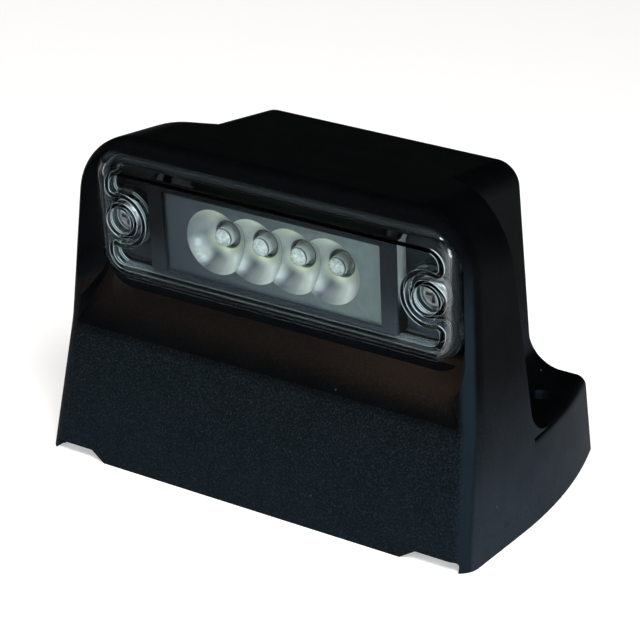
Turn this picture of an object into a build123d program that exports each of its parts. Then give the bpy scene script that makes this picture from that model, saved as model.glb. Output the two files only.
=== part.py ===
from build123d import *
import os
from math import asin, cos, degrees, radians, sin, tan

# A number plate lamp: a moulded hood that stands on its foot, and a lit module clamped into the
# hood's tilted window by two screws. Millimetres and degrees. The lens looks along -Y, the foot
# lies on Z = 0, and the origin is the middle of the foot.

# Hood, outside
base_width = 104.4
base_depth = 64.0
roof_height = 70.8
side_draft = 4.4
bow_start = 22.0
bow_radius = 125.0
panel_lean = 9.8
bend_drop = 42.3
bend_radius = 22.0
frame_lean = 2.5
roof_fall = 6.5
rear_lean = 10.4
crown_radius = 14.0
front_edge_radius = 4.6
rear_edge_radius = 1.2
hood_wall = 2.5

# Wings and tower behind the window frame
wing_height = 18.2
wing_edge_radius = 2.4
wing_width = 18.7
tower_taper = 1.6
tower_edge_radius = 5.0
tower_foot_radius = 7.0
cheek_foot = 30.8
cheek_lean = 10.5
cheek_sweep = 30.0
fixing_inset = 10.7
fixing_setback = 47.0
fixing_hole = 4.5
fixing_boss = 11.4

# Notches in the front of the foot
notch_inner = 36.8
notch_outer = 50.0
notch_height = 2.1
notch_ramp = 3.4
notch_round = 0.9

# Window recess
frame_side = 8.9
lens_height = 29.2
lens_corner = 6.4
lens_tilt = 3.8
lens_drop = 18.8
lens_rise = 0.8
lens_setback = 7.8
window_gap = 0.4
mouth_flare = 32.0
brow_drop = 2.2
ledge_depth = 3.4
ledge_flare = 14.0

# Lens
lens_wall = 1.6
lens_skirt = 1.5
lens_edge_radius = 3.0
fit_gap = 0.2
screw_inset = 6.4
well_radius = 4.0
well_bore = 3.1
well_floor = 1.4
rib_height = 2.6
rib_width = 1.0

# Seal and tray
seal_thickness = 1.0
flange_lip = 1.0
flange_thickness = 1.4
tray_wall = 1.2
tray_shelf = 7.2
tray_depth = 17.3
horn_radius = 1.8

# Mask, reflector and light sources
mask_inset = 7.2
mask_thickness = 0.8
mask_side = 3.5
mask_edge = 0.9
plate_thickness = 1.0
end_wall = 1.0
led_pitch = 9.2
led_count = 4
dish_radius = 7.1
dish_depth = 5.2
dish_wall = 0.9
dish_hole = 2.7
dome_radius = 2.1
dome_drop = 3.5
led_base = 7.6
led_base_thickness = 2.0
lead_thickness = 0.4
lead_pitch = 5.08
lead_width = 0.5
cup_radius = 1.3
chip_radius = 0.8
chip_thickness = 0.3

# Circuit board and what it carries
board_inset = 1.2
board_thickness = 1.6
board_standoff = 0.5
board_gap = 0.4
post_radius = 1.6
post_inset = 2.6
resistor_size = (3.2, 1.6, 0.6)
diode_size = (4.4, 2.6, 2.1)
diode_draft = 8.0
terminal_radius = 0.5
terminal_length = 3.8
terminal_pitch = 5.0
terminal_drop = 6.4
hole_gap = 0.2

# Cable inlet in the back of the tray
inlet_bore = 4.4
inlet_neck = 7.0
inlet_collar = 10.0
inlet_collar_thickness = 1.6
inlet_length = 5.0

# Lens screws
screw_head_radius = 2.75
screw_head_height = 1.7
screw_shank = 2.9
screw_length = 12.0
screw_slot = 0.8
screw_slot_length = 3.6
screw_slot_depth = 0.9
screw_boss_radius = 4.0

# Places worked out from the sizes above
front_foot = -base_depth / 2
rear_foot = base_depth / 2
bend_height = roof_height - bend_drop
lens_middle = roof_height - lens_drop
beyond = base_width
above_roof = 2 * roof_height
short_edge = base_width / 4
on_face = 0.1

lens_face = Plane(
    origin=(0, front_foot + lens_setback, lens_middle),
    x_dir=(1, 0, 0),
    z_dir=(0, -cos(radians(lens_tilt)), -sin(radians(lens_tilt))),
)
lens_axis = Axis(lens_face.origin, lens_face.z_dir)
rib_end = lens_wall + rib_height
flange_front = rib_end + seal_thickness
seat_depth = flange_front + flange_thickness
plate_front = lens_wall + fit_gap + mask_thickness
plate_back = plate_front + plate_thickness
dish_end = plate_front + dish_depth
dish_sphere = (dish_radius**2 + dish_depth**2) / (2 * dish_depth)
dish_centre = dish_end - dish_sphere
dome_centre = plate_front + dome_drop
led_base_front = dish_end + dish_wall
led_base_back = led_base_front + led_base_thickness
lead_depth = led_base_front + led_base_thickness / 2
board_front = led_base_back + board_standoff
board_back = board_front + board_thickness
tray_floor = tray_depth - tray_wall
well_bottom = seat_depth - fit_gap - well_floor

tower_width = base_width - 2 * wing_width
fixing_spacing = base_width - 2 * fixing_inset
lens_width = base_width - 2 * frame_side
screw_spacing = lens_width - 2 * screw_inset
mask_width = screw_spacing - 2 * mask_inset
window_width = mask_width - 2 * mask_side
board_width = mask_width - 2 * board_inset
inner_width = lens_width - 2 * lens_skirt
inner_height = lens_height - 2 * lens_skirt
seal_width = inner_width - 2 * (fit_gap + flange_lip)
seal_height = inner_height - 2 * (fit_gap + flange_lip + lens_rise)
seal_corner = lens_corner - lens_skirt - fit_gap - flange_lip
bite_radius = well_radius + fit_gap + flange_lip
chamber_height = seal_height - 2 * (tray_wall + fit_gap)
window_height = chamber_height - 2 * mask_edge
box_width = board_width + 2 * (board_gap + tray_wall)
boss_end = well_bottom + screw_length + hole_gap
fixing_middle = front_foot + fixing_setback
fixing_spots = [(-fixing_spacing / 2, fixing_middle), (fixing_spacing / 2, fixing_middle)]

wells = [(-screw_spacing / 2, 0), (screw_spacing / 2, 0)]
led_middles = [(led_pitch * (i - (led_count - 1) / 2), 0) for i in range(led_count)]
lead_corners = [(sx * lead_pitch / 2, sy * lead_pitch / 2) for sx in (-1, 1) for sy in (-1, 1)]
post_spots = [
    (sx * (board_width / 2 - post_inset), sy * (chamber_height / 2 - post_inset))
    for sx in (-1, 1)
    for sy in (-1, 1)
]
end_wall_spots = [(sx * (mask_width - end_wall) / 2, 0) for sx in (-1, 1)]
terminal_spots = [(sx * terminal_pitch / 2, -terminal_drop) for sx in (-1, 1)]
resistor_spots = [(x, chamber_height / 4) for x, _ in led_middles]


def layer(depth):
    """The plane at a depth behind the lens face."""
    return lens_face.offset(-depth)


def front_at(height):
    """How far back the hood's front lies at a height: the leaning panel, then the steeper frame."""
    below = min(height, bend_height)
    above = max(height - bend_height, 0)
    return front_foot + below * tan(radians(panel_lean)) + above * tan(radians(frame_lean))


def rear_at(height):
    """How far back the hood's rear wall lies at a height."""
    return rear_foot - height * tan(radians(rear_lean))


roof = Plane(
    origin=(0, front_at(roof_height), roof_height),
    x_dir=(1, 0, 0),
    z_dir=(0, sin(radians(roof_fall)), cos(radians(roof_fall))),
)
ledge_lip = lens_face.from_local_coords((0, lens_rise - lens_height / 2 - window_gap, -ledge_depth))
ledge_rise = Vector(0, ledge_lip.Y - front_at(bend_height), ledge_lip.Z - bend_height)
ledge = Plane(
    origin=(0, front_at(bend_height), bend_height),
    x_dir=(1, 0, 0),
    z_dir=Vector(1, 0, 0).cross(ledge_rise),
)


def hood_form(inset):
    """The hood's form set in by a wall: a drafted plan under a sloped roof, then front and rear."""
    half = base_width / 2 - inset
    bow = degrees(asin((rear_foot + inset + hood_wall - front_foot - bow_start) / bow_radius))
    with BuildPart() as form:
        with BuildSketch():
            with BuildLine():
                front = Line((0, front_foot - hood_wall), (half, front_foot - hood_wall))
                side = Line(front @ 1, (half, front_foot + bow_start))
                bowed = JernArc(start=side @ 1, tangent=(0, 1), radius=bow_radius, arc_size=bow)
                Line(bowed @ 1, (0, (bowed @ 1).Y))
                mirror(about=Plane.YZ)
            make_face()
        extrude(amount=above_roof, taper=side_draft)
        split(bisect_by=roof.offset(-inset), keep=Keep.BOTTOM)
        shoulders = form.faces().sort_by(Axis.Z)[-1].edges().filter_by(Axis.X, reverse=True)
        fillet(shoulders, crown_radius - inset)
        with BuildSketch(Plane.YZ):
            with BuildLine():
                Polyline(
                    (front_foot + inset, 0),
                    (front_at(bend_height) + inset, bend_height),
                    (front_at(above_roof) + inset, above_roof),
                    (rear_at(above_roof) - inset, above_roof),
                    (rear_foot - inset, 0),
                    close=True,
                )
            profile = make_face()
            bend = profile.vertices().sort_by(lambda v: abs(v.Y - bend_height))[0]
            fillet(bend, bend_radius)
        extrude(amount=beyond, both=True, mode=Mode.INTERSECT)
    return form.part


def tower_form(inset):
    """The tower behind the frame: nearly straight sides under the roof, with rounded long edges."""
    half = tower_width / 2 - inset
    tail = half - base_depth * tan(radians(tower_taper))
    with BuildPart() as tower:
        with BuildSketch():
            with BuildLine():
                Polyline(
                    (-half, front_foot),
                    (half, front_foot),
                    (tail, rear_foot + hood_wall),
                    (-tail, rear_foot + hood_wall),
                    close=True,
                )
            make_face()
        extrude(amount=above_roof)
        split(bisect_by=roof.offset(-inset), keep=Keep.BOTTOM)
        long_edges = tower.faces().sort_by(Axis.Z)[-1].edges().filter_by(Axis.X, reverse=True)
        fillet(long_edges, tower_edge_radius)
    return tower.part


def cheek_at(height):
    """How far back the cheek's rear edge lies at a height."""
    return front_foot + cheek_foot - height * tan(radians(cheek_lean))


def behind_cheek(floor, grow):
    """Everything right of the middle, above a floor and behind the cheek, swept back as it goes inward."""
    inward = (-cos(radians(cheek_sweep)), sin(radians(cheek_sweep)), 0)
    with BuildPart() as region:
        with BuildSketch(Plane.YZ.offset(base_width / 2)):
            with BuildLine():
                Polyline(
                    (cheek_at(floor) - grow, floor),
                    (cheek_at(above_roof) - grow, above_roof),
                    (rear_foot + beyond, above_roof),
                    (rear_foot + beyond, floor),
                    close=True,
                )
            make_face()
        extrude(amount=base_width / 2, dir=inward, both=True)
    return region.part


def side_space(grow):
    """The open space beside the tower and above the right wing, with a rounded foot."""
    floor = wing_height - grow
    with BuildPart() as space:
        add(behind_cheek(floor, grow))
        add(tower_form(grow), mode=Mode.SUBTRACT)
        inner_corner = (tower_width / 2, cheek_at(floor) - grow, floor)
        foot_edges = space.faces().sort_by(Axis.Z)[0].edges().sort_by_distance(inner_corner)[:2]
        fillet(foot_edges, tower_foot_radius + grow)
    return space.part


def window_recess(grow):
    """The recess round the lens: a straight bed, a flared mouth and the sloping ledge below."""
    bed = (lens_width + 2 * (window_gap + grow), lens_height + 2 * (window_gap + grow))
    bed_corner = lens_corner + window_gap + grow
    lip_half = lens_width / 2 + window_gap + grow
    foot_half = lip_half + ledge_rise.length * tan(radians(ledge_flare))
    with BuildPart() as recess:
        with BuildSketch(layer(seat_depth + grow)):
            with Locations((0, lens_rise)):
                RectangleRounded(*bed, bed_corner)
        extrude(amount=seat_depth + grow)
        with BuildSketch(layer(ledge_depth)):
            with Locations((0, lens_rise - brow_drop)):
                RectangleRounded(*bed, bed_corner)
        extrude(amount=lens_setback + ledge_depth, taper=-mouth_flare)
        with BuildSketch(ledge.offset(-grow)):
            with BuildLine():
                Polyline(
                    (-foot_half, -grow),
                    (foot_half, -grow),
                    (lip_half, ledge_rise.length),
                    (lip_half, ledge_rise.length + lens_corner),
                    (-lip_half, ledge_rise.length + lens_corner),
                    (-lip_half, ledge_rise.length),
                    close=True,
                )
            make_face()
        extrude(amount=lens_setback + grow)
    return recess.part


def seal_outline(grow):
    """The sealed chamber's outline: a rounded oblong with a bite round each lens screw, grown evenly."""
    with BuildSketch() as outline:
        RectangleRounded(seal_width, seal_height, seal_corner)
        with Locations(*wells):
            Circle(bite_radius, mode=Mode.SUBTRACT)
        horns = outline.vertices().filter_by(lambda v: abs(v.Y) < bite_radius)
        fillet(horns, horn_radius)
        if grow:
            offset(amount=grow)
    return outline.sketch


# Space inside the hood, open at the foot, round the columns and bosses that take the screws
with BuildPart() as hollow:
    add(hood_form(hood_wall))
    right_wall = side_space(hood_wall)
    add(right_wall, mode=Mode.SUBTRACT)
    add(mirror(right_wall, about=Plane.YZ, mode=Mode.PRIVATE), mode=Mode.SUBTRACT)
    add(window_recess(hood_wall), mode=Mode.SUBTRACT)
    with BuildSketch():
        with Locations(*fixing_spots):
            Circle(fixing_boss / 2)
    extrude(amount=wing_height, mode=Mode.SUBTRACT)
    with BuildSketch(layer(seat_depth)):
        with Locations(*wells):
            Circle(screw_boss_radius)
    extrude(amount=seat_depth - boss_end, mode=Mode.SUBTRACT)

# Outside of the hood with its rounded front rim, before the side spaces are cut
with BuildPart() as outside:
    add(hood_form(0))
    front_rim = outside.edges().filter_by(
        lambda e: abs((e @ 0.5).Y - front_at((e @ 0.5).Z)) < on_face
        and ((e @ 0.5).Z > lens_middle or abs((e @ 0).X - (e @ 1).X) < short_edge)
    )
    fillet(front_rim, front_edge_radius)

# What is shaved off the outer edges of the two wings to round them
with BuildPart() as square_wings:
    add(outside.part)
    split(bisect_by=Plane.XY.offset(wing_height), keep=Keep.BOTTOM)
    split(bisect_by=Plane.XY.offset(wing_height - 2 * wing_edge_radius), keep=Keep.TOP)
    split(bisect_by=Plane.XZ.offset(-front_foot - bow_start / 2), keep=Keep.BOTTOM)
with BuildPart() as round_wings:
    add(square_wings.part)
    wing_sides = round_wings.faces().sort_by(Axis.Z)[-1].edges().filter_by(Axis.X, reverse=True)
    fillet(wing_sides, wing_edge_radius)
with BuildPart() as behind_cheeks:
    right_region = behind_cheek(wing_height - 2 * wing_edge_radius, 0)
    add(right_region)
    add(mirror(right_region, about=Plane.YZ, mode=Mode.PRIVATE))
with BuildPart() as shavings:
    add(square_wings.part)
    add(round_wings.part, mode=Mode.SUBTRACT)
    add(behind_cheeks.part, mode=Mode.INTERSECT)

# Hood: one moulding with a window frame, a tower and two wings that are screwed down
with BuildPart() as housing:
    add(outside.part)
    right_space = side_space(0)
    add(right_space, mode=Mode.SUBTRACT)
    add(mirror(right_space, about=Plane.YZ, mode=Mode.PRIVATE), mode=Mode.SUBTRACT)
    add(shavings.part, mode=Mode.SUBTRACT)
    rear_rim = housing.edges().filter_by(
        lambda e: all(abs((e @ t).Y - rear_at((e @ t).Z)) < on_face for t in (0, 0.5, 1))
        and (e @ 0.5).Z > on_face
    )
    fillet(rear_rim, rear_edge_radius)
    add(window_recess(0), mode=Mode.SUBTRACT)
    add(hollow.part, mode=Mode.SUBTRACT)
    with BuildSketch(layer(seat_depth)):
        add(seal_outline(window_gap))
    extrude(amount=-2 * hood_wall, mode=Mode.SUBTRACT)
    with BuildSketch(layer(seat_depth)):
        with Locations(*wells):
            Circle(screw_shank / 2 + hole_gap / 2)
    extrude(amount=seat_depth - boss_end - hood_wall, mode=Mode.SUBTRACT)
    with BuildSketch():
        with Locations(*fixing_spots):
            Circle(fixing_hole / 2)
    extrude(amount=wing_height, mode=Mode.SUBTRACT)
    with BuildSketch(Plane.XZ.offset(rear_foot + hood_wall)) as notch:
        with BuildLine():
            Polyline(
                (notch_inner, 0),
                (notch_inner + notch_ramp, notch_height),
                (notch_outer, notch_height),
                (notch_outer, 0),
                close=True,
            )
        make_face()
        fillet(notch.vertices().group_by(Axis.Y)[-1], notch_round)
        mirror(about=Plane.YZ)
    extrude(amount=front_foot - front_at(notch_height) - 2 * hood_wall - hole_gap, mode=Mode.SUBTRACT)

# Space inside the lens, rounded along its front as the lens is
with BuildPart() as lens_hollow:
    with BuildSketch(layer(lens_wall)):
        with Locations((0, lens_rise)):
            RectangleRounded(inner_width, inner_height, lens_corner - lens_skirt)
    extrude(amount=lens_wall - seat_depth)
    fillet(lens_hollow.faces().sort_by(lens_axis)[-1].edges(), lens_edge_radius - lens_wall)

# Lens: a clear dish with a skirt, a rib that presses the seal and a well for each screw
with BuildPart() as lens:
    with BuildSketch(layer(0)):
        with Locations((0, lens_rise)):
            RectangleRounded(lens_width, lens_height, lens_corner)
    extrude(amount=fit_gap - seat_depth)
    fillet(lens.faces().sort_by(lens_axis)[-1].edges(), lens_edge_radius)
    add(lens_hollow.part, mode=Mode.SUBTRACT)
    with BuildSketch(layer(lens_wall)):
        with Locations(*wells):
            Circle(well_radius)
    extrude(amount=lens_wall + fit_gap - seat_depth)
    with BuildSketch(layer(lens_wall)):
        add(seal_outline(0))
        add(seal_outline(-rib_width), mode=Mode.SUBTRACT)
    extrude(amount=-rib_height)
    with BuildSketch(layer(0)):
        with Locations(*wells):
            Circle(well_bore)
    extrude(amount=-well_bottom, mode=Mode.SUBTRACT)
    with BuildSketch(layer(0)):
        with Locations(*wells):
            Circle(screw_shank / 2 + hole_gap)
    extrude(amount=-seat_depth, mode=Mode.SUBTRACT)

# Seal: a flat rubber ring that follows the rib round the screws
with BuildPart() as lens_seal:
    with BuildSketch(layer(rib_end)):
        add(seal_outline(0))
        add(seal_outline(-rib_width), mode=Mode.SUBTRACT)
    extrude(amount=-seal_thickness)

# Mask: a thin black frame that lies on the reflector and hides its edges
with BuildPart() as mask:
    with BuildSketch(layer(plate_front)):
        Rectangle(mask_width, chamber_height)
        Rectangle(window_width, window_height, mode=Mode.SUBTRACT)
    extrude(amount=mask_thickness)

# Reflector: a plate with overlapping bowls and four legs that stand on the board
with BuildPart(lens_face) as reflector:
    with Locations(*[(x, y, -dish_centre) for x, y in led_middles]):
        Sphere(dish_sphere + dish_wall)
    split(bisect_by=layer(plate_back), keep=Keep.BOTTOM)
    with BuildSketch(layer(plate_front)):
        Rectangle(mask_width, chamber_height)
    extrude(amount=-plate_thickness)
    with BuildSketch(layer(plate_back)):
        with Locations(*post_spots):
            Circle(post_radius)
    extrude(amount=plate_back - board_front)
    with BuildSketch(layer(plate_back)):
        with Locations(*end_wall_spots):
            Rectangle(end_wall, chamber_height)
    extrude(amount=plate_back + tray_wall + fit_gap - tray_shelf)
    with Locations(*[(x, y, -dish_centre) for x, y in led_middles]):
        Sphere(dish_sphere, mode=Mode.SUBTRACT)
    with BuildSketch(layer(plate_front)):
        with Locations(*led_middles):
            Circle(dish_hole)
    extrude(amount=-2 * dish_depth, mode=Mode.SUBTRACT)

# Tray: a black box with a shallow shelf at each end and a flange that is clamped to the hood's seat
with BuildPart() as tray:
    with BuildSketch(layer(flange_front)):
        add(seal_outline(flange_lip))
    extrude(amount=-flange_thickness)
    with BuildSketch(layer(flange_front)):
        add(seal_outline(0))
    extrude(amount=flange_front - tray_shelf)
    with BuildSketch(layer(flange_front)):
        Rectangle(box_width, seal_height)
    extrude(amount=flange_front - tray_depth)
    with BuildSketch(layer(flange_front)):
        add(seal_outline(-tray_wall))
    extrude(amount=flange_front - tray_shelf + tray_wall, mode=Mode.SUBTRACT)
    with BuildSketch(layer(flange_front)):
        Rectangle(box_width - 2 * tray_wall, seal_height - 2 * tray_wall)
    extrude(amount=flange_front - tray_floor, mode=Mode.SUBTRACT)
    with BuildSketch(layer(board_back)):
        with Locations(*post_spots):
            Circle(post_radius)
    extrude(amount=board_back - tray_floor)
    with BuildSketch(layer(tray_floor)):
        Circle(inlet_neck / 2 + hole_gap / 2)
    extrude(amount=-2 * tray_wall, mode=Mode.SUBTRACT)

# Circuit board with its plated holes
with BuildPart() as board:
    with BuildSketch(layer(board_front)):
        Rectangle(board_width, chamber_height)
        with Locations(*[(x + cx, cy) for x, _ in led_middles for cx, cy in lead_corners]):
            Circle(lead_width / 2 + hole_gap, mode=Mode.SUBTRACT)
        with Locations(*terminal_spots):
            Circle(terminal_radius + hole_gap / 2, mode=Mode.SUBTRACT)
    extrude(amount=-board_thickness)

# Chip resistors on the back of the board
with BuildPart() as resistors:
    with BuildSketch(layer(board_back)):
        with Locations(*resistor_spots):
            Rectangle(resistor_size[0], resistor_size[1])
    extrude(amount=-resistor_size[2])

# Polarity diode on the back of the board
with BuildPart() as diode:
    with BuildSketch(layer(board_back)):
        with Locations((led_middles[0][0], -terminal_drop)):
            Rectangle(diode_size[0], diode_size[1])
    extrude(amount=-diode_size[2], taper=diode_draft)

# Solder terminals for the two cores of the cable
with BuildPart() as terminals:
    with BuildSketch(layer(board_front)):
        with Locations(*terminal_spots):
            Circle(terminal_radius)
    extrude(amount=-terminal_length)

# Rubber inlet bush in the back of the tray
with BuildPart() as inlet:
    with BuildSketch(layer(tray_floor - inlet_collar_thickness / 2)):
        Circle(inlet_collar / 2)
    extrude(amount=-inlet_collar_thickness / 2)
    with BuildSketch(layer(tray_floor)):
        Circle(inlet_neck / 2)
    extrude(amount=-tray_wall - inlet_length)
    with BuildSketch(layer(tray_depth)):
        Circle(inlet_collar / 2)
    extrude(amount=-inlet_collar_thickness)
    with BuildSketch(layer(board_back)):
        Circle(inlet_bore / 2)
    extrude(amount=-tray_depth, mode=Mode.SUBTRACT)

# Lens screws: two pan heads with a cross recess, each in its well
with BuildPart() as lens_screws:
    with BuildSketch(layer(well_bottom)):
        with Locations(*wells):
            Circle(screw_head_radius)
    extrude(amount=screw_head_height)
    crowns = lens_screws.faces().filter_by(lens_axis).sort_by(lens_axis)[-2:].edges()
    fillet(crowns, screw_head_height / 2)
    with BuildSketch(layer(well_bottom)):
        with Locations(*wells):
            Circle(screw_shank / 2)
    extrude(amount=-screw_length)
    with BuildSketch(layer(well_bottom - screw_head_height)):
        with Locations(*wells):
            Rectangle(screw_slot_length, screw_slot)
            Rectangle(screw_slot, screw_slot_length)
    extrude(amount=-screw_slot_depth, mode=Mode.SUBTRACT)

pieces = {
    "housing": housing.part,
    "lens": lens.part,
    "lens_seal": lens_seal.part,
    "mask": mask.part,
    "reflector": reflector.part,
    "tray": tray.part,
    "circuit_board": board.part,
    "resistors": resistors.part,
    "diode": diode.part,
    "terminals": terminals.part,
    "inlet_bush": inlet.part,
    "lens_screws": lens_screws.part,
}

# Light sources: a square clear body with a dome, moulded round its two lead frames
for number, (x, _) in enumerate(led_middles, start=1):
    with BuildPart() as leads:
        with BuildSketch(layer(lead_depth)):
            with Locations((x - lead_pitch / 2, 0), (x + lead_pitch / 2, 0)):
                Rectangle(lead_width, lead_pitch + lead_width)
            with Locations((x, 0)):
                Rectangle(lead_pitch, 2 * cup_radius)
                with Locations((cup_radius + lead_width, 0)):
                    Rectangle(lead_width, lead_pitch, mode=Mode.SUBTRACT)
        extrude(amount=lead_thickness)
        with BuildSketch(layer(lead_depth)):
            with Locations(*[(x + cx, cy) for cx, cy in lead_corners]):
                Rectangle(lead_width, lead_width)
        extrude(amount=lead_depth - board_back - board_standoff)
    with BuildPart() as chip:
        with BuildSketch(layer(lead_depth - lead_thickness)):
            with Locations((x, 0)):
                Circle(chip_radius)
        extrude(amount=chip_thickness)
    with BuildPart() as body:
        with BuildSketch(layer(led_base_back)):
            with Locations((x, 0)):
                RectangleRounded(led_base, led_base, lead_width)
        extrude(amount=led_base_thickness)
        with BuildSketch(layer(led_base_front)):
            with Locations((x, 0)):
                Circle(dome_radius)
        extrude(amount=led_base_front - dome_centre)
        with Locations(layer(dome_centre)):
            with Locations((x, 0)):
                Sphere(dome_radius)
        add(leads.part, mode=Mode.SUBTRACT)
        add(chip.part, mode=Mode.SUBTRACT)
    pieces[f"led_body_{number}"] = body.part
    pieces[f"led_leads_{number}"] = leads.part
    pieces[f"led_chip_{number}"] = chip.part

os.makedirs("parts", exist_ok=True)
for name, piece in pieces.items():
    piece.label = name
    export_step(piece, f"parts/{name}.step")
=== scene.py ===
from math import cos, pi, radians, sin

import bpy
import numpy as np
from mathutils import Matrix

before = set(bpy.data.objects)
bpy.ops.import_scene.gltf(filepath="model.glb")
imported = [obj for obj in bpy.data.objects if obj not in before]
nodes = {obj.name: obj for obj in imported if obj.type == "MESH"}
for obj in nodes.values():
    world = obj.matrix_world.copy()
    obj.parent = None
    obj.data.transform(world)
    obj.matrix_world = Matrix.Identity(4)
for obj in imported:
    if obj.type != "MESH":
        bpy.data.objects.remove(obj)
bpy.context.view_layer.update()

# The hood is one black moulding: a window frame, a tower and two low wings on a foot.
# It is injection moulded in black plastic with a fine spark-eroded grain, and a little pale dust
# has settled on it. Its colour also holds painted reflections: a lighter sheen low on the front
# panel and the sides, a bluish highlight down the right front edge and a brown sheen on the ledge.
# The whole lamp is screwed down through the wings.


def new_material(name):
    """A new node material, as the material, its node tree and its Principled shader."""
    material = bpy.data.materials.new(name)
    material.use_nodes = True
    tree = material.node_tree
    shader = next(n for n in tree.nodes if n.type == "BSDF_PRINCIPLED")
    return material, tree, shader


def feed(tree, node, inputs):
    """Gives each input of a node, by its name or number, a socket to follow or a plain value."""
    for slot, source in inputs.items():
        if isinstance(source, bpy.types.NodeSocket):
            tree.links.new(source, node.inputs[slot])
        else:
            node.inputs[slot].default_value = source


def add_node(tree, kind, inputs, **settings):
    """A new shader node of this kind; its settings come first, because they choose its sockets."""
    node = tree.nodes.new(f"ShaderNode{kind}")
    for setting, value in settings.items():
        setattr(node, setting, value)
    feed(tree, node, inputs)
    return node


def coordinate(tree, output):
    """An output of the texture coordinates: Object is a place in metres, Normal is a facing."""
    return add_node(tree, "TexCoord", {}).outputs[output]


def split(tree, output):
    """The right, back and up parts of an output of the texture coordinates."""
    parts = add_node(tree, "SeparateXYZ", {"Vector": coordinate(tree, output)})
    return parts.outputs["X"], parts.outputs["Y"], parts.outputs["Z"]


def sums(tree, operation, *values):
    """The values, sockets or plain numbers, put together by one operation of the Math node."""
    return add_node(tree, "Math", dict(enumerate(values)), operation=operation).outputs[0]


def product(tree, first, *others):
    """The values multiplied together."""
    for other in others:
        first = sums(tree, "MULTIPLY", first, other)
    return first


def size_of(tree, source):
    """Source without its sign."""
    return sums(tree, "ABSOLUTE", source)


def part_way(tree, source, start, end, easing="SMOOTHSTEP"):
    """0 to 1 as source goes from start to end, and level outside them."""
    inputs = {"Value": source, "From Min": start, "From Max": end}
    return add_node(tree, "MapRange", inputs, interpolation_type=easing).outputs["Result"]


def span(tree, source, low, high):
    """Source's 0 to 1 carried over to low to high, and level outside them."""
    return add_node(tree, "MapRange", {"Value": source, "To Min": low, "To Max": high}).outputs["Result"]


def object_noise(tree, scale, detail):
    """Noise from 0 to 1: scale is how many swells there are in a metre."""
    inputs = {"Vector": coordinate(tree, "Object"), "Scale": scale, "Detail": detail}
    return add_node(tree, "TexNoise", inputs).outputs["Fac"]


def ramp(tree, source, stops):
    """A colour ramp over source: stops are (position, colour) pairs in rising order."""
    node = add_node(tree, "ValToRGB", {"Fac": source})
    band = node.color_ramp.elements
    while len(band) < len(stops):
        band.new(0.5)
    for element, (position, colour) in zip(band, stops):
        element.position = position
        element.color = (*colour, 1.0)
    return node.outputs["Color"]


def mottle(tree, noise, dark, light, inset=0.3):
    """Cloudy colour: dark up to inset of a noise, light from as much below 1, and a ramp between."""
    return ramp(tree, noise, [(inset, dark), (1.0 - inset, light)])


def uneven(tree, noise, middle, swing=0.05):
    """A value that swings about its middle with a noise."""
    return span(tree, noise, middle - swing, middle + swing)


def specks(tree, scale, size, share):
    """1 on round specks and 0 between them: size is a speck's radius as a part of its cell, share
    is the part of the cells that hold one, and scale is the number of cells in a metre."""
    cells = add_node(tree, "TexVoronoi", {"Vector": coordinate(tree, "Object"), "Scale": scale})
    dot = ramp(tree, cells.outputs["Distance"], [(size / 2, (1, 1, 1)), (size, (0, 0, 0))])
    chance = add_node(tree, "SeparateColor", {"Color": cells.outputs["Color"]}).outputs["Red"]
    return product(tree, dot, sums(tree, "GREATER_THAN", chance, 1.0 - share))


def blend_colour(tree, factor, low, high):
    """The colour low where factor is 0 and high where it is 1; each is a socket or a plain colour."""
    inputs = {"Factor": factor}
    for slot, colour in (("A", low), ("B", high)):
        inputs[slot] = (*colour, 1.0) if isinstance(colour, tuple) else colour
    return add_node(tree, "Mix", inputs, data_type="RGBA").outputs["Result"]


def paint(node_name, material):
    """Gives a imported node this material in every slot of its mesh."""
    mesh = nodes[node_name].data
    mesh.materials.clear()
    mesh.materials.append(material)


HOOD_DARK = (0.0008, 0.0009, 0.0010)
HOOD_LIGHT = (0.0015, 0.0017, 0.0019)
HOOD_ROUGHNESS = 0.5
HOOD_SHINE = 0.012
HOOD_SHINE_TINT = (0.62, 0.88, 1.0, 1.0)
GRAINS_PER_METRE = 2600.0
GRAIN_DEPTH = 0.00012
GRAIN_STRENGTH = 0.3
FRONT_SHEEN = (0.0042, 0.0072, 0.0094)
SIDE_SHEEN = (0.0178, 0.0232, 0.0300)
EDGE_HIGHLIGHT = (0.0070, 0.0110, 0.0150)
LEDGE_REFLECTION = (0.0136, 0.0092, 0.0068)
DUST = (0.060, 0.078, 0.098)
GRIT_SHEEN = (0.0114, 0.01482, 0.01862)

# Each pair is where a painted sheen or reflection sets in and where it is full. These go by the
# surface's facing, as the back, side or up part of its unit normal.
FACES_FRONT = (-0.75, -0.92)
FACES_FORWARD = (-0.25, -0.45)
FACES_SIDE = (0.80, 0.95)
TURNS_TO_SIDE = (0.30, 0.55)
SHORT_OF_SIDE = (0.93, 0.80)
STANDS_UPRIGHT = (0.75, 0.35)
FACES_UP = (0.22, 0.40)

# These go by the place on the hood, in metres up, to the back or to the right.
DOWN_PANEL = (0.052, 0.000)
DOWN_SIDE = (0.040, -0.002)
BELOW_BEND = (0.0286, 0.0258)
ABOVE_BEND = (0.0285, 0.0350)
BELOW_LENS = (0.046, 0.040)
BELOW_ROOF = (0.064, 0.050)
BEFORE_LENS = (-0.018, -0.020)
RIGHT_HALF = (0.000, 0.020)
ACROSS_LEDGE = (-0.050, 0.050)
END_OF_LEDGE = (0.005, 0.040)
HOLE_FROM_MIDDLE = 0.0415
PAST_HOLE_WALL = (0.0028, 0.0034)

# These are what the strength of a painted sheen is multiplied by: in thin and thick patches, from
# the bend down, from the left to the right end of the ledge, up to its right end, and between and on the
# grit.
PATCHES = (0.6, 1.4)
DOWN_FROM_BEND = (0.35, 1.0)
LEFT_TO_RIGHT = (0.34, 0.72)
RIGHT_END = (1.0, 1.7)
ON_GRIT = (0.75, 1.5)

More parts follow.
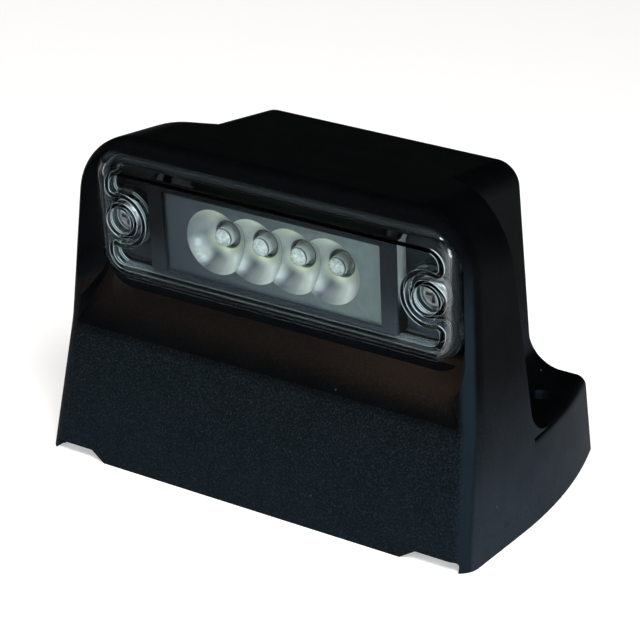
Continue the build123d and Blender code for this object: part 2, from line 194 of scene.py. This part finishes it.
# Grit is the upper part of a fine noise, and its pale tops are a painted sheen, shown where the
# painted front and side sheen is strong enough.
GRIT_IN_NOISE = (0.42, 0.76)
GRIT_ON_SHEEN = (-0.1, 0.5)

hood_plastic, tree, shader = new_material("hood_plastic")
cloud = object_noise(tree, scale=130.0, detail=5.0)
patchy = span(tree, cloud, *PATCHES)
grit = part_way(tree, object_noise(tree, scale=3000.0, detail=1.0), *GRIT_IN_NOISE)
x, y, z = split(tree, "Object")
sideways, backward, upward = split(tree, "Normal")
sideways = size_of(tree, sideways)
from_hole = size_of(tree, sums(tree, "SUBTRACT", size_of(tree, x), HOLE_FROM_MIDDLE))
# Painted reflection: the front panel is painted lighter and bluish towards the bottom.
front_sheen = product(
    tree,
    part_way(tree, backward, *FACES_FRONT),
    part_way(tree, upward, *STANDS_UPRIGHT),
    part_way(tree, z, *DOWN_PANEL),
    span(tree, part_way(tree, z, *BELOW_BEND), *DOWN_FROM_BEND),
    patchy,
)
# Painted reflection: the sides are painted lighter and bluish towards the foot.
side_sheen = product(
    tree,
    part_way(tree, sideways, *FACES_SIDE),
    part_way(tree, z, *DOWN_SIDE),
    part_way(tree, from_hole, *PAST_HOLE_WALL),
    patchy,
)
# Painted highlight: a bluish band along the rounded front edge on the right half only.
edge_highlight = product(
    tree,
    part_way(tree, sideways, *TURNS_TO_SIDE),
    part_way(tree, sideways, *SHORT_OF_SIDE),
    part_way(tree, backward, *FACES_FORWARD),
    part_way(tree, z, *BELOW_ROOF),
    part_way(tree, x, *RIGHT_HALF),
    patchy,
)
# Painted reflection: a patchy brown sheen of the warm lamp on the ledge, stronger to the right.
ledge_reflection = product(
    tree,
    part_way(tree, upward, *FACES_UP),
    part_way(tree, y, *BEFORE_LENS),
    part_way(tree, z, *BELOW_LENS),
    part_way(tree, z, *ABOVE_BEND),
    span(tree, part_way(tree, x, *ACROSS_LEDGE), *LEFT_TO_RIGHT),
    span(tree, part_way(tree, x, *END_OF_LEDGE), *RIGHT_END),
    span(tree, grit, *ON_GRIT),
)
colour = mottle(tree, cloud, HOOD_DARK, HOOD_LIGHT)
for share, painted_tone in ((front_sheen, FRONT_SHEEN), (side_sheen, SIDE_SHEEN), (edge_highlight, EDGE_HIGHLIGHT), (ledge_reflection, LEDGE_REFLECTION)):
    colour = blend_colour(tree, share, colour, painted_tone)
colour = blend_colour(tree, specks(tree, scale=330.0, size=0.08, share=0.05), colour, DUST)
# Painted sheen picked out on the tops of the grit.
sheen_on_grit = product(tree, grit, part_way(tree, sums(tree, "MAXIMUM", front_sheen, side_sheen), *GRIT_ON_SHEEN))
colour = blend_colour(tree, sheen_on_grit, colour, GRIT_SHEEN)
grain_height = object_noise(tree, scale=GRAINS_PER_METRE, detail=2.0)
grain = add_node(
    tree, "Bump", {"Height": grain_height, "Distance": GRAIN_DEPTH, "Strength": GRAIN_STRENGTH}
)
hood_finish = {
    "Base Color": colour,
    "Roughness": uneven(tree, object_noise(tree, scale=240.0, detail=3.0), HOOD_ROUGHNESS),
    "Normal": grain.outputs["Normal"],
    "Specular IOR Level": HOOD_SHINE,
    "Specular Tint": HOOD_SHINE_TINT,
}
feed(tree, shader, hood_finish)
paint("housing", hood_plastic)

# The circuit board carries the light sources and lies on posts in the tray.
# It is glass-fibre laminate under a dark green solder mask.
BOARD_DARK = (0.004, 0.022, 0.010)
BOARD_LIGHT = (0.007, 0.034, 0.016)
BOARD_ROUGHNESS = 0.30
BOARD_SHINE = 0.2
board_mask, tree, shader = new_material("board_mask")
weave = object_noise(tree, scale=900.0, detail=2.0)
board_finish = {
    "Base Color": mottle(tree, weave, BOARD_DARK, BOARD_LIGHT, inset=0.35),
    "Roughness": uneven(tree, weave, BOARD_ROUGHNESS, swing=0.08),
    "Specular IOR Level": BOARD_SHINE,
}
feed(tree, shader, board_finish)
paint("circuit_board", board_mask)

# The resistors, the diode and the terminals are soldered to the back of the board.
# The bodies are black moulding compound, the terminals are tinned brass pins.


def plain_finish(name, dark, light, roughness, scale=400.0, metal=0.0, shine=0.5):
    """A plain finish with a cloudy colour between dark and light and a slightly uneven gloss."""
    material, tree, shader = new_material(name)
    cloud = object_noise(tree, scale, detail=3.0)
    finish = {
        "Base Color": mottle(tree, cloud, dark, light),
        "Roughness": uneven(tree, cloud, roughness),
        "Metallic": metal,
        "Specular IOR Level": shine,
    }
    feed(tree, shader, finish)
    return material


component_black = plain_finish(
    "component_black", dark=(0.018, 0.018, 0.018), light=(0.03, 0.03, 0.03), roughness=0.45
)
tinned_brass = plain_finish(
    "tinned_brass", dark=(0.62, 0.6, 0.52), light=(0.74, 0.72, 0.66), roughness=0.28, metal=1.0
)
paint("resistors", component_black)
paint("diode", component_black)
paint("terminals", tinned_brass)

# The inlet bush takes the cable through the back of the tray, and the seal lies under the lens.
# Both are moulded black rubber, pressed into place.
rubber = plain_finish(
    "rubber",
    dark=(0.002, 0.002, 0.002),
    light=(0.004, 0.004, 0.004),
    roughness=0.7,
    scale=1500.0,
    shine=0.05,
)
paint("inlet_bush", rubber)
paint("lens_seal", rubber)

# The light sources are diodes: silvered lead frames and a yellow coated chip, cast into a square
# resin body with a round dome, clear but a little milky. They are soldered to the board in a row.
LED_COUNT = 4
LED_PITCH = 0.0092
RESIN = (0.80, 0.87, 0.87)
RESIN_IOR = 1.5
RESIN_CLEARNESS = 0.55
RESIN_ROUGHNESS = 0.05
DOME_DARK = (0.38, 0.45, 0.45)
DOME_LIGHT = (0.66, 0.74, 0.72)

# From the shoulder of the dome outwards: where each band starts, in metres from the axis, and its tint.
# The dark ring at the shoulder and the darker body past the collar are painted shade; the collar between
# is lighter.
DOME_SHADE_BANDS = [
    ((0.00184, 0.00190), (0.12, 0.15, 0.15)),
    ((0.00198, 0.00204), (0.52, 0.58, 0.56)),
    ((0.00211, 0.00214), (0.36, 0.40, 0.40)),
]

# The lit parts stand square to the lens, which leans back a little.
LENS_TILT = radians(3.8)
LENS_MIDDLE = np.array((0.0, -0.0242, 0.052))
LENS_INWARD = np.array((0.0, cos(LENS_TILT), sin(LENS_TILT)))
LENS_UPWARD = np.array((0.0, -sin(LENS_TILT), cos(LENS_TILT)))


def clear_resin(name, tint, ior, clearness):
    """Clear plastic that bends what is seen through it and lets the lamps' light in: clearness is
    the part of the light that isn't scattered. Also gives the mixing node that makes its surface."""
    material, tree, shader = new_material(name)
    feed(tree, shader, {"Base Color": (*tint, 1.0), "Transmission Weight": clearness, "IOR": ior})
    through = add_node(tree, "BsdfTransparent", {"Color": (*tint, 1.0)})
    rays = add_node(tree, "LightPath", {})
    sides = {1: shader.outputs["BSDF"], 2: through.outputs["BSDF"]}
    surface = add_node(tree, "MixShader", {"Fac": rays.outputs["Is Shadow Ray"], **sides})
    out = next(n for n in tree.nodes if n.type == "OUTPUT_MATERIAL")
    feed(tree, out, {"Surface": surface.outputs["Shader"]})
    return material, tree, shader, surface


def along(tree, output, direction):
    """How far an output of the texture coordinates goes in a direction: their dot product."""
    inputs = {0: coordinate(tree, output), 1: tuple(direction)}
    return add_node(tree, "VectorMath", inputs, operation="DOT_PRODUCT").outputs["Value"]


def from_lens_middle(tree, direction):
    """How far a point lies from the middle of the lens's face in a direction, in metres."""
    return sums(tree, "SUBTRACT", along(tree, "Object", direction), float(LENS_MIDDLE @ direction))


def place_in_bowl(tree):
    """How far a point lies to the right of the axis of the light source nearest to it, how far above
    that axis, and how far from it, in metres across the lens."""
    x, _, _ = split(tree, "Object")
    number = sums(tree, "FLOOR", sums(tree, "MULTIPLY_ADD", x, 1 / LED_PITCH, LED_COUNT / 2))
    number = sums(tree, "MAXIMUM", sums(tree, "MINIMUM", number, LED_COUNT - 1), 0)
    axis = sums(tree, "MULTIPLY_ADD", number, LED_PITCH, -(LED_COUNT - 1) / 2 * LED_PITCH)
    right = sums(tree, "SUBTRACT", x, axis)
    above = from_lens_middle(tree, LENS_UPWARD)
    square = sums(tree, "MULTIPLY_ADD", above, above, product(tree, right, right))
    return right, above, sums(tree, "SQRT", square)


silver_lead = plain_finish(
    "silver_lead", dark=(0.7, 0.71, 0.7), light=(0.8, 0.81, 0.8), roughness=0.25, metal=1.0
)
phosphor = plain_finish(
    "phosphor", dark=(0.72, 0.62, 0.2), light=(0.84, 0.76, 0.34), roughness=0.6, scale=3000.0
)
led_resin, tree, shader, _ = clear_resin("led_resin", RESIN, RESIN_IOR, RESIN_CLEARNESS)
_, _, off_axis = place_in_bowl(tree)
swirl = object_noise(tree, scale=1400.0, detail=2.0)
tint = mottle(tree, swirl, DOME_DARK, DOME_LIGHT, inset=0.35)
# Painted shade: a dark ring at each dome's shoulder and a darker body past its collar.
for start, band_shade in DOME_SHADE_BANDS:
    tint = blend_colour(tree, part_way(tree, off_axis, *start), tint, band_shade)
feed(tree, shader, {"Base Color": tint, "Roughness": RESIN_ROUGHNESS})
for number in range(1, LED_COUNT + 1):
    paint(f"led_leads_{number}", silver_lead)
    paint(f"led_chip_{number}", phosphor)
    paint(f"led_body_{number}", led_resin)

# The reflector is a plate with four overlapping bowls, on legs that stand on the board.
# It is moulded plastic with a satin metal coating, bright in the bowls and darker on the plate.
# The bright and dark fans round each light source, the glow below it and the plate's darkening to the
# left are painted reflections; the ring round each source and the ridges between the bowls are painted
# shade.
PLATE_DEPTH = 0.0026
PLATE_TOP = 0.0097
PLATE_END = 0.0297
SILVER_METAL = 0.9
SILVER_ROUGHNESS = 0.52
INNER_SILVER = ((0.27, 0.31, 0.31), (0.31, 0.35, 0.35))
PLATE_LEFT = ((0.026, 0.034, 0.042), (0.034, 0.043, 0.052))
PLATE_RIGHT = ((0.10, 0.132, 0.135), (0.13, 0.165, 0.168))
LIT_SILVER = (0.42, 0.46, 0.32)
RING_SHADE = (0.06, 0.07, 0.075)
RIDGE_SHADE = (0.10, 0.11, 0.12)
NEAR_BLACK = (0.006, 0.007, 0.008)

# The painted reflection fans of a bowl, in parts of a turn from the left by way of the bottom, the right
# and the top.
BOWL_REFLECTION_FANS = [
    (0.0, (0.124, 0.146, 0.150)),
    (0.10, (0.19, 0.22, 0.21)),
    (0.18, (0.06, 0.07, 0.08)),
    (0.25, (0.24, 0.27, 0.28)),
    (0.33, (0.72, 0.78, 0.75)),
    (0.42, (0.36, 0.40, 0.41)),
    (0.65, (0.46, 0.52, 0.52)),
    (0.80, (0.85, 0.90, 0.80)),
    (0.91, (0.36, 0.41, 0.40)),
    (1.0, (0.124, 0.146, 0.150)),
]

# Where the tones of the bowls and the plate set in and where they are full, in metres: the first
# three from the axis of a bowl, the next two above and to the side of it, the others on the plate.
FANS_OUTWARD = (0.0028, 0.0052)
GLOW_INWARD = (0.0048, 0.0028)
RING_INWARD = (0.00320, 0.00295)
GLOW_DOWNWARD = (0.0010, -0.0015)
RIDGE_SIDEWAYS = (0.00448, 0.00458)
BETWEEN_BOWLS = (0.0120, 0.0118)
ACROSS_PLATE = (-0.030, 0.030)
BEHIND_PLATE = (PLATE_DEPTH + 0.00002, PLATE_DEPTH + 0.00012)
TOP_EDGE = (PLATE_TOP - 0.00006, PLATE_TOP - 0.00002)
END_FACE = (PLATE_END - 0.00006, PLATE_END - 0.00002)
DOWN_END_FACE = (0.0020, -0.0045)

satin_silver, tree, shader = new_material("satin_silver")
cloud = object_noise(tree, scale=500.0, detail=4.0)
x, _, _ = split(tree, "Object")
right, above, off_axis = place_in_bowl(tree)
turn = sums(tree, "MULTIPLY_ADD", sums(tree, "ARCTAN2", above, right), 0.5 / pi, 0.5)
# Painted reflection: bright and dark fans round each light source, and a yellow-green glow just below
# it.
reflection_fans_share = part_way(tree, off_axis, *FANS_OUTWARD)
glow = product(tree, part_way(tree, off_axis, *GLOW_INWARD), part_way(tree, above, *GLOW_DOWNWARD))
ring = part_way(tree, off_axis, *RING_INWARD)
ridge = product(
    tree,
    part_way(tree, size_of(tree, right), *RIDGE_SIDEWAYS),
    part_way(tree, size_of(tree, x), *BETWEEN_BOWLS),
)
bowl = blend_colour(tree, reflection_fans_share, mottle(tree, cloud, *INNER_SILVER), ramp(tree, turn, BOWL_REFLECTION_FANS))
for share, shade in ((glow, LIT_SILVER), (ring, RING_SHADE), (ridge, RIDGE_SHADE)):
    bowl = blend_colour(tree, share, bowl, shade)
# The plate is painted darker to the left and lighter to the right: a painted reflection.
plate_left = mottle(tree, cloud, *PLATE_LEFT)
plate_right = mottle(tree, cloud, *PLATE_RIGHT)
plate = blend_colour(tree, part_way(tree, x, *ACROSS_PLATE), plate_left, plate_right)
in_bowl = part_way(tree, from_lens_middle(tree, LENS_INWARD), *BEHIND_PLATE, easing="LINEAR")
silver = blend_colour(tree, in_bowl, plate, bowl)
# The plate's top edge and the lower part of its right end face are painted near black; on the end face
# it is painted shade.
silver = blend_colour(tree, part_way(tree, above, *TOP_EDGE), silver, NEAR_BLACK)
end_face = product(tree, part_way(tree, x, *END_FACE), part_way(tree, above, *DOWN_END_FACE))
silver_finish = {
    "Base Color": blend_colour(tree, end_face, silver, NEAR_BLACK),
    "Metallic": SILVER_METAL,
    "Roughness": uneven(tree, cloud, SILVER_ROUGHNESS, swing=0.04),
}
feed(tree, shader, silver_finish)
paint("reflector", satin_silver)

# The tray is the black box behind the lens that holds the lit parts and closes the chamber.
# It is moulded in black plastic, smooth inside, and is clamped between lens and hood. Its black is
# painted greyer towards the lower right as painted light, and stays black at the upper left as painted
# shade.
LIT_RIGHTWARD = (-0.020, 0.040)
LIT_DOWNWARD = (0.002, -0.010)
RIGHTWARD_SHARE = 0.3
DOWNWARD_SHARE = 0.6


def chamber_black(name, shaded_black, lit_grey, roughness, shine):
    """Smooth black plastic, painted greyer towards the lower right as painted light."""
    material, tree, shader = new_material(name)
    cloud = object_noise(tree, scale=400.0, detail=3.0)
    x, _, _ = split(tree, "Object")
    rightward = part_way(tree, x, *LIT_RIGHTWARD)
    downward = part_way(tree, from_lens_middle(tree, LENS_UPWARD), *LIT_DOWNWARD)
    lit_share = product(tree, downward, DOWNWARD_SHARE)
    lit_share = sums(tree, "MULTIPLY_ADD", rightward, RIGHTWARD_SHARE, lit_share)
    lit_share = product(tree, lit_share, uneven(tree, cloud, 1.0, swing=0.2))
    finish = {
        "Base Color": blend_colour(tree, lit_share, shaded_black, lit_grey),
        "Roughness": uneven(tree, cloud, roughness),
        "Specular IOR Level": shine,
    }
    feed(tree, shader, finish)
    return material


tray_plastic = chamber_black(
    "tray_plastic",
    shaded_black=(0.0025, 0.0035, 0.0033),
    lit_grey=(0.028, 0.034, 0.041),
    roughness=0.35,
    shine=0.04,
)
paint("tray", tray_plastic)

# The mask is a thin smooth black frame that hides the edges of the reflector.
# It is moulded in the same black as the tray, with the same painted light towards the lower right,
# and lies on the reflector's plate.
mask_black = chamber_black(
    "mask_black",
    shaded_black=(0.0025, 0.0030, 0.0035),
    lit_grey=(0.024, 0.030, 0.037),
    roughness=0.4,
    shine=0.03,
)
paint("mask", mask_black)

# The lens is one clear moulding with a skirt, a rib that presses the seal and two screw wells.
# It is polished acrylic, dropped into the recess of the hood. Its flat faces and long edges hardly
# mirror the dark room, and its steep walls are a little matt along their edges. The pale matt lines
# along the walls are partly this frosting and partly a painted highlight for the rim's glints, and
# the haze on the rounded rim is a painted highlight.
ACRYLIC = (0.97, 0.985, 0.985)
ACRYLIC_IOR = 1.49
POLISH_ROUGHNESS = 0.01
SCUFF_ROUGHNESS = 0.31
CALM_SHARE = 0.98
MATT_GLINT = (0.72, 0.88, 0.95)
MATT_LINE_SHARE = 0.35
OUTER_LINE_SHARE = 0.05
LONG_LINE_SHARE = 0.3
LOWER_WALL_SHARE = 0.035
RIM_GLINT_HAZE = 0.018
LOWER_GLINT_HAZE = 2.2

# Where each form of the lens sets in and where it is full: the first three by how squarely the
# surface faces along the lens, the fourth by its side part, the others in metres across the lens.
FLAT_FACE = (0.90, 0.99)
STEEP_WALL = (0.50, 0.15)
ROUNDED_RIM = (0.97, 0.60)
LONG_EDGE = (0.35, 0.15)
UPPER_EDGE = (0.004, 0.010)
LOWER_EDGE = (-0.004, -0.010)
WITHIN_ENDS = (0.0414, 0.0408)
WITHIN_SIDES = (0.0128, 0.0122)
RIM_MIDDLE = 0.0008

# How far behind the face of the lens the matt lines, partly a painted highlight, start and end, and how
# far they fade, in metres.
MATT_LINES = ((0.0, 0.0002), (0.0016, 0.0018), (0.0040, 0.0042))
LINE_FADE = 0.00006

clear_acrylic, tree, shader, surface = clear_resin("clear_acrylic", ACRYLIC, ACRYLIC_IOR, clearness=1.0)
scuffs = specks(tree, scale=700.0, size=0.12, share=0.25)
feed(tree, shader, {"Roughness": span(tree, scuffs, POLISH_ROUGHNESS, SCUFF_ROUGHNESS)})
x, _, _ = split(tree, "Object")
above = from_lens_middle(tree, LENS_UPWARD)
depth = from_lens_middle(tree, LENS_INWARD)
square_on = size_of(tree, along(tree, "Normal", LENS_INWARD))
sideways, _, _ = split(tree, "Normal")
steep = part_way(tree, square_on, *STEEP_WALL)
rounded = part_way(tree, square_on, *ROUNDED_RIM)
long_edge = part_way(tree, size_of(tree, sideways), *LONG_EDGE)
upper_edge = product(tree, long_edge, part_way(tree, above, *UPPER_EDGE))
lower_edge = product(tree, long_edge, part_way(tree, above, *LOWER_EDGE))
off_middle = size_of(tree, sums(tree, "SUBTRACT", above, RIM_MIDDLE))
within = product(
    tree,
    part_way(tree, size_of(tree, x), *WITHIN_ENDS),
    part_way(tree, off_middle, *WITHIN_SIDES),
)

calm = sums(tree, "MAXIMUM", part_way(tree, square_on, *FLAT_FACE), upper_edge)
calm = product(tree, sums(tree, "MAXIMUM", calm, lower_edge), CALM_SHARE)
see_through = {"Color": (*ACRYLIC, 1.0), "Roughness": POLISH_ROUGHNESS, "IOR": ACRYLIC_IOR}
unmirrored = add_node(tree, "BsdfRefraction", see_through)
sides = {1: shader.outputs["BSDF"], 2: unmirrored.outputs["BSDF"]}
face = add_node(tree, "MixShader", {"Fac": calm, **sides})

# Matt lines along the steep walls: partly real frosting, partly a painted highlight for the rim's
# glints.
glint_lines = 0.0
for start, end in MATT_LINES:
    past_start = part_way(tree, depth, start - LINE_FADE, start, easing="LINEAR")
    before_end = part_way(tree, depth, end + LINE_FADE, end, easing="LINEAR")
    glint_lines = sums(tree, "MAXIMUM", product(tree, past_start, before_end), glint_lines)
glint_lines = product(
    tree,
    glint_lines,
    steep,
    span(tree, within, OUTER_LINE_SHARE, MATT_LINE_SHARE),
    span(tree, long_edge, 1.0, LONG_LINE_SHARE),
    span(tree, upper_edge, 1.0, 0.0),
)
lower_wall = product(tree, lower_edge, steep, span(tree, within, 0.0, LOWER_WALL_SHARE))
# Painted highlight: a pale bluish haze on the rounded rim, stronger along the lower edge.
rim_glint_haze = product(
    tree,
    rounded,
    span(tree, within, RIM_GLINT_HAZE, 0.0),
    span(tree, lower_edge, 1.0, LOWER_GLINT_HAZE),
)
glint_share = sums(tree, "MAXIMUM", sums(tree, "MAXIMUM", glint_lines, lower_wall), rim_glint_haze)
matt_glint = add_node(tree, "BsdfDiffuse", {"Color": (*MATT_GLINT, 1.0)})
sides = {1: face.outputs["Shader"], 2: matt_glint.outputs["BSDF"]}
walls = add_node(tree, "MixShader", {"Fac": glint_share, **sides})
feed(tree, surface, {1: walls.outputs["Shader"]})
paint("lens", clear_acrylic)

# The lens screws are pan heads with a cross recess, one in each well of the lens.
# They are zinc-plated steel, a little dull, and hold lens, seal and tray to bosses in the hood.
screw_steel = plain_finish(
    "screw_steel",
    dark=(0.24, 0.25, 0.26),
    light=(0.34, 0.35, 0.36),
    roughness=0.35,
    scale=900.0,
    metal=1.0,
)
paint("lens_screws", screw_steel)

# The studio is a pale floor in a dark room. A large soft lamp stands above the front right, a warm
# one above the left, and two cool ones stand low, at the front left and at the right.
FLOOR_HALF = 6.0
FLOOR_GREY = (0.80, 0.80, 0.80, 1.0)
FLOOR_LIFT = 0.40
ROOM_DARK = (0.005, 0.0053, 0.0057, 1.0)
NEUTRAL = (0.98, 0.99, 1.0)
WARM = (1.0, 0.90, 0.80)
COOL = (0.92, 0.97, 1.0)
floor_mesh = bpy.data.meshes.new("floor")
corners = np.array([[-1, -1, 0], [1, -1, 0], [1, 1, 0], [-1, 1, 0]]) * FLOOR_HALF
floor_mesh.from_pydata(corners.tolist(), [], [(0, 1, 2, 3)])
floor = bpy.data.objects.new("floor", floor_mesh)
bpy.context.scene.collection.objects.link(floor)
pale, tree, shader = new_material("pale_floor")
rays = add_node(tree, "LightPath", {}).outputs
seen = sums(tree, "MAXIMUM", rays["Is Camera Ray"], rays["Is Glossy Ray"])
seen = sums(tree, "MAXIMUM", seen, rays["Is Transmission Ray"])
floor_finish = {
    "Base Color": FLOOR_GREY,
    "Roughness": 0.9,
    "Specular IOR Level": 0.0,
    "Emission Color": (1.0, 1.0, 1.0, 1.0),
    "Emission Strength": product(tree, seen, FLOOR_LIFT),
}
feed(tree, shader, floor_finish)
floor_mesh.materials.append(pale)


def soft_lamp(name, place, target, size, power, colour):
    """A square area lamp at place that faces target."""
    light = bpy.data.lights.new(name, "AREA")
    light.size = size
    light.energy = power
    light.color = colour
    lamp = bpy.data.objects.new(name, light)
    lamp.location = place
    aim = np.array(target) - np.array(place)
    heading = np.arctan2(aim[1], aim[0])
    drop = np.arctan2(np.hypot(aim[0], aim[1]), -aim[2])
    lamp.rotation_euler = (drop, 0.0, heading - pi / 2)
    bpy.context.scene.collection.objects.link(lamp)


soft_lamp("key", (0.62, -0.55, 1.1), (0, 0, 0), size=0.45, power=15.0, colour=NEUTRAL)
soft_lamp("fill", (-0.62, -0.26, 1.0), (0, 0, 0), size=0.6, power=4.5, colour=WARM)
soft_lamp("low_left", (-0.45, -0.75, 0.25), (0, 0, 0.03), size=0.5, power=3.0, colour=COOL)
soft_lamp("low_right", (0.36, -0.16, 0.08), (0, 0, 0.05), size=0.16, power=1.0, colour=COOL)

world = bpy.data.worlds.new("room")
bpy.context.scene.world = world
world.use_nodes = True
feed(world.node_tree, world.node_tree.nodes["Background"], {"Color": ROOM_DARK, "Strength": 1.0})

# The camera stands where the photograph was taken from, worked out from the window, the lens,
# the row of light sources and the foot.
AZIMUTH = 33.8245
ELEVATION = 23.6674
CAMERA_PLACE = (0.28491, -0.43022, 0.25650)
SENSOR_MM = 36.0
FOCAL_MM = 152.09
camera_data = bpy.data.cameras.new("camera")
camera_data.sensor_width = SENSOR_MM
camera_data.lens = FOCAL_MM
camera = bpy.data.objects.new("camera", camera_data)
camera.location = CAMERA_PLACE
camera.rotation_euler = (radians(90 - ELEVATION), 0.0, radians(AZIMUTH))
bpy.context.scene.collection.objects.link(camera)
bpy.context.scene.camera = camera
bpy.context.scene.view_settings.view_transform = "Standard"
